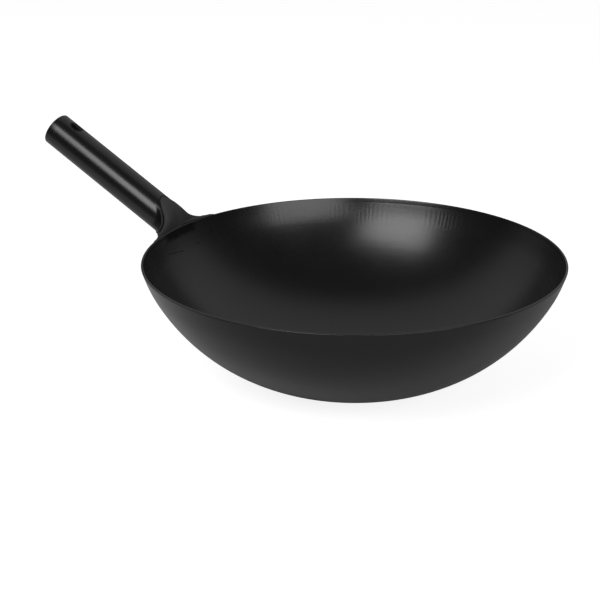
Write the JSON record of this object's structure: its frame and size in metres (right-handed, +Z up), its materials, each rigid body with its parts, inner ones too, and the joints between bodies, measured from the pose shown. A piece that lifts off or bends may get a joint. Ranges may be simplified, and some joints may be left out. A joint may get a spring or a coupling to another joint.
{
  "type": "wok",
  "caption": "Round-bottomed black steel wok: a deep thin-walled bowl with a small flat base and a rising hollow tube handle welded to its rim through a flared bracket.",
  "frame": {"origin": "centre of the flat base, on the surface that the wok stands on", "axes": "+Z up through the bowl's mouth; the handle points along -X and rises from the rim; +Y across"},
  "size_m": [0.4966, 0.355, 0.1884],
  "materials": {
    "bowl_steel": "satin black on pressed sheet steel",
    "bracket_steel": "semi-matt black on pressed sheet steel",
    "tube_steel": "satin black on steel tube",
    "weld_metal": "black over rippled weld metal"
  },
  "bodies": {
    "root": {"bowl": "bowl_steel", "handle_bracket": "bracket_steel", "handle_tube": "tube_steel", "handle_end_cap": "tube_steel", "rim_weld_left": "weld_metal", "rim_weld_right": "weld_metal", "bracket_weld": "weld_metal", "tube_weld": "weld_metal"}
  },
  "joints": []
}
